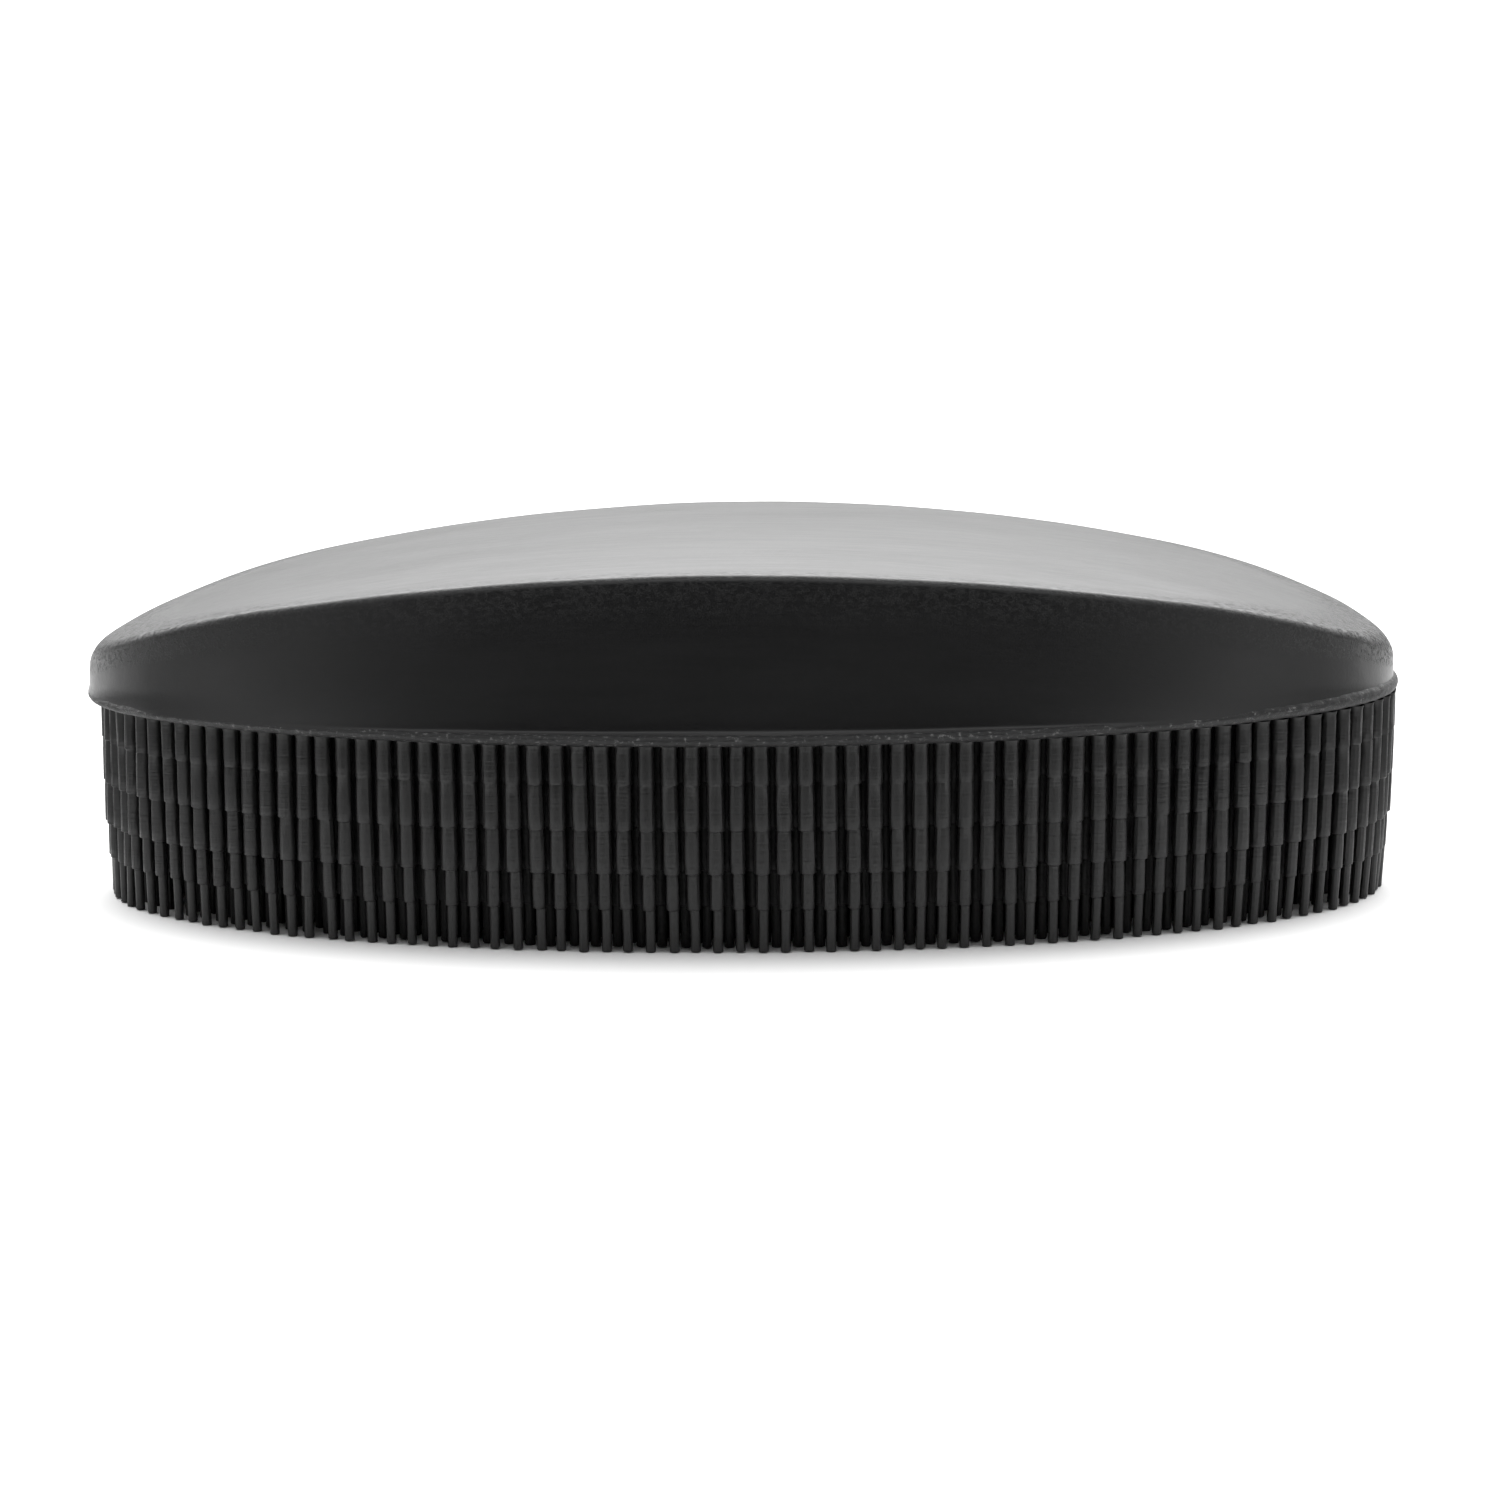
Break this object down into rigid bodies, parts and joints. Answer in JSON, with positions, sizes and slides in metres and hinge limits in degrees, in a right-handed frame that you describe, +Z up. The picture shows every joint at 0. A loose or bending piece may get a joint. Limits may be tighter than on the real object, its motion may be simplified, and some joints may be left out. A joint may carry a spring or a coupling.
{
  "type": "rubber hand brush",
  "caption": "Palm-held oval brush of solid black rubber: arched grip with a finger hollow on each long side, thin lip at its base, and dense oval rows of stepped rubber bristles.",
  "frame": {"origin": "on the plane of the bristle tips, under the middle of the oval", "axes": "+X along the brush's long side, +Y across it, +Z up from the bristle tips to the grip"},
  "size_m": [0.131, 0.0684, 0.0359],
  "materials": {
    "body_rubber": "solid black moulded rubber, satin, with fine brushed streaks and a slight dusty bloom on the top",
    "bristle_rubber": "the same black rubber, matt, with fine mould steps"
  },
  "bodies": {
    "root": {"grip_body": "body_rubber", "base_flange": "body_rubber", "bristle_row_01": "bristle_rubber", "bristle_row_02": "bristle_rubber", "bristle_row_03": "bristle_rubber", "bristle_row_04": "bristle_rubber", "bristle_row_05": "bristle_rubber", "bristle_row_06": "bristle_rubber", "bristle_row_07": "bristle_rubber", "bristle_row_08": "bristle_rubber", "bristle_row_09": "bristle_rubber", "bristle_row_10": "bristle_rubber", "bristle_row_11": "bristle_rubber", "bristle_row_12": "bristle_rubber", "bristle_row_13": "bristle_rubber", "bristle_row_14": "bristle_rubber", "bristle_row_15": "bristle_rubber"}
  },
  "joints": []
}
